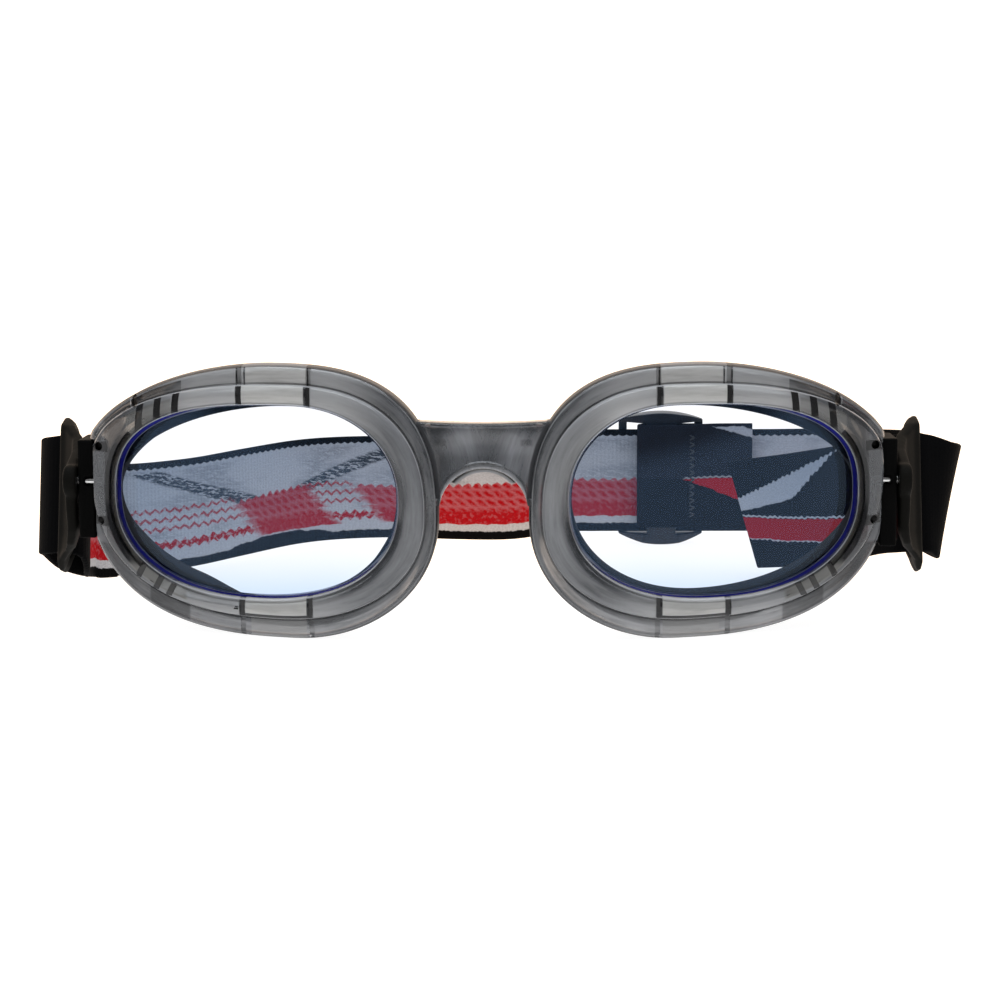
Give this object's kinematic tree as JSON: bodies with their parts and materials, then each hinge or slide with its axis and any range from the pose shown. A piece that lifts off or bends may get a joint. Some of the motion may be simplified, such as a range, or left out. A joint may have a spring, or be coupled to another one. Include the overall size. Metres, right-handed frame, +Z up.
{
  "type": "strapped sports glasses",
  "caption": "Strapped sports glasses with a translucent grey frame, pale blue lenses, black face gaskets and an elastic strap on swivelling clips.",
  "frame": {"origin": "on the table, midway between the foremost point of the rims and the back of the strap slider, on the middle plane of the frame", "axes": "+X to the right of someone who looks at the lenses from the front, +Y from the lenses back towards the strap, +Z up"},
  "size_m": [0.1961, 0.1294, 0.0534],
  "materials": {
    "smoke_plastic": "translucent smoke grey, satin",
    "silicone": "soft clear-grey silicone",
    "tinted_lens": "clear polycarbonate with a pale blue tint",
    "gasket_foam": "black closed-cell foam",
    "black_plastic": "black, satin",
    "rivet_plastic": "black",
    "pin_steel": "bright steel",
    "clip_plastic": "black, semi-gloss",
    "strap_webbing": "elastic woven webbing, white and red inside, black outside",
    "slider_plastic": "black, semi-gloss",
    "thread": "black sewing thread"
  },
  "bodies": {
    "frame": {"front_frame": "smoke_plastic", "nose_pad": "silicone", "lens_left": "tinted_lens", "lens_right": "tinted_lens", "gasket_left": "gasket_foam", "gasket_right": "gasket_foam", "bracket_left": "black_plastic", "bracket_right": "black_plastic", "bracket_rivets_left": "rivet_plastic", "bracket_rivets_right": "rivet_plastic", "pivot_pin_left": "pin_steel", "pivot_pin_right": "pin_steel"},
    "left_clip_and_strap": {"strap_clip_left": "clip_plastic", "strap": "strap_webbing", "bar_tack_clip": "thread"},
    "right_clip": {"strap_clip_right": "clip_plastic"},
    "slider": {"strap_slider": "slider_plastic", "strap_end_fold": "strap_webbing", "bar_tack_slider": "thread"}
  },
  "joints": [
    {"name": "left_clip_swivel", "type": "hinge", "parent": "frame", "child": "left_clip_and_strap", "pos_m": [-0.0845, -0.03898, 0.0286], "axis": [1, 0, 0], "range_deg": [0, 40]},
    {"name": "right_clip_swivel", "type": "hinge", "parent": "frame", "child": "right_clip", "pos_m": [0.0845, -0.03898, 0.0286], "axis": [1, 0, 0], "range_deg": [0, 40]},
    {"name": "slider_travel", "type": "slide", "parent": "left_clip_and_strap", "child": "slider", "axis": [1, 0, 0], "range_m": [-0.01, 0.004]}
  ],
  "couplings": [
    {"joint": "right_clip_swivel", "follows": "left_clip_swivel", "ratio": 1}
  ]
}
